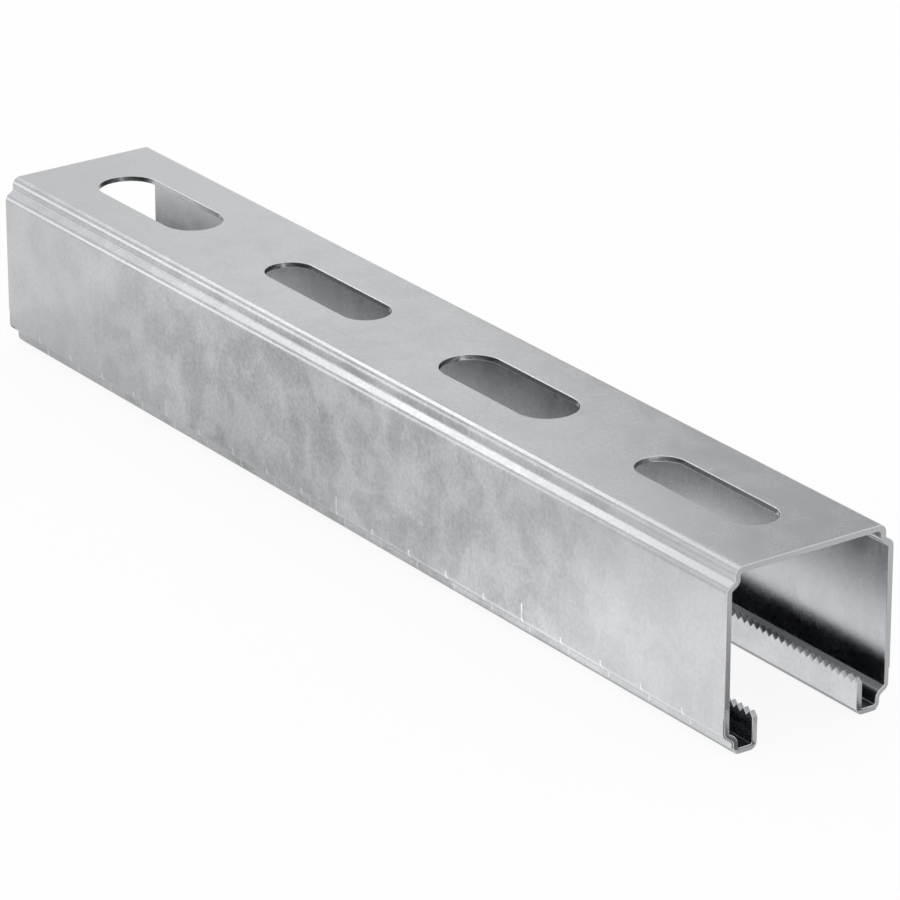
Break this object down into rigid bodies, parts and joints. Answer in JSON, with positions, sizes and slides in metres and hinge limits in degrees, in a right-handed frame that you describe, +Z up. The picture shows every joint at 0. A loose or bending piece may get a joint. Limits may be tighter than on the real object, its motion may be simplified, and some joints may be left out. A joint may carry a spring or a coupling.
{
  "type": "mounting rail",
  "caption": "Roll-formed mounting rail: a folded steel channel with a slotted back, stepped webs and two inturned, serrated lips along its open side.",
  "frame": {"origin": "middle of the footprint, on the plane that the two feet stand on", "axes": "+X along the rail, towards the end whose lips start with an open notch; +Y across it; +Z up, out of the slotted back"},
  "size_m": [0.2, 0.031, 0.03],
  "materials": {
    "galvanised_steel": "hot-dip galvanised sheet, satin, softly mottled, with fine streaks across the web"
  },
  "bodies": {
    "root": {"rail": "galvanised_steel"}
  },
  "joints": []
}
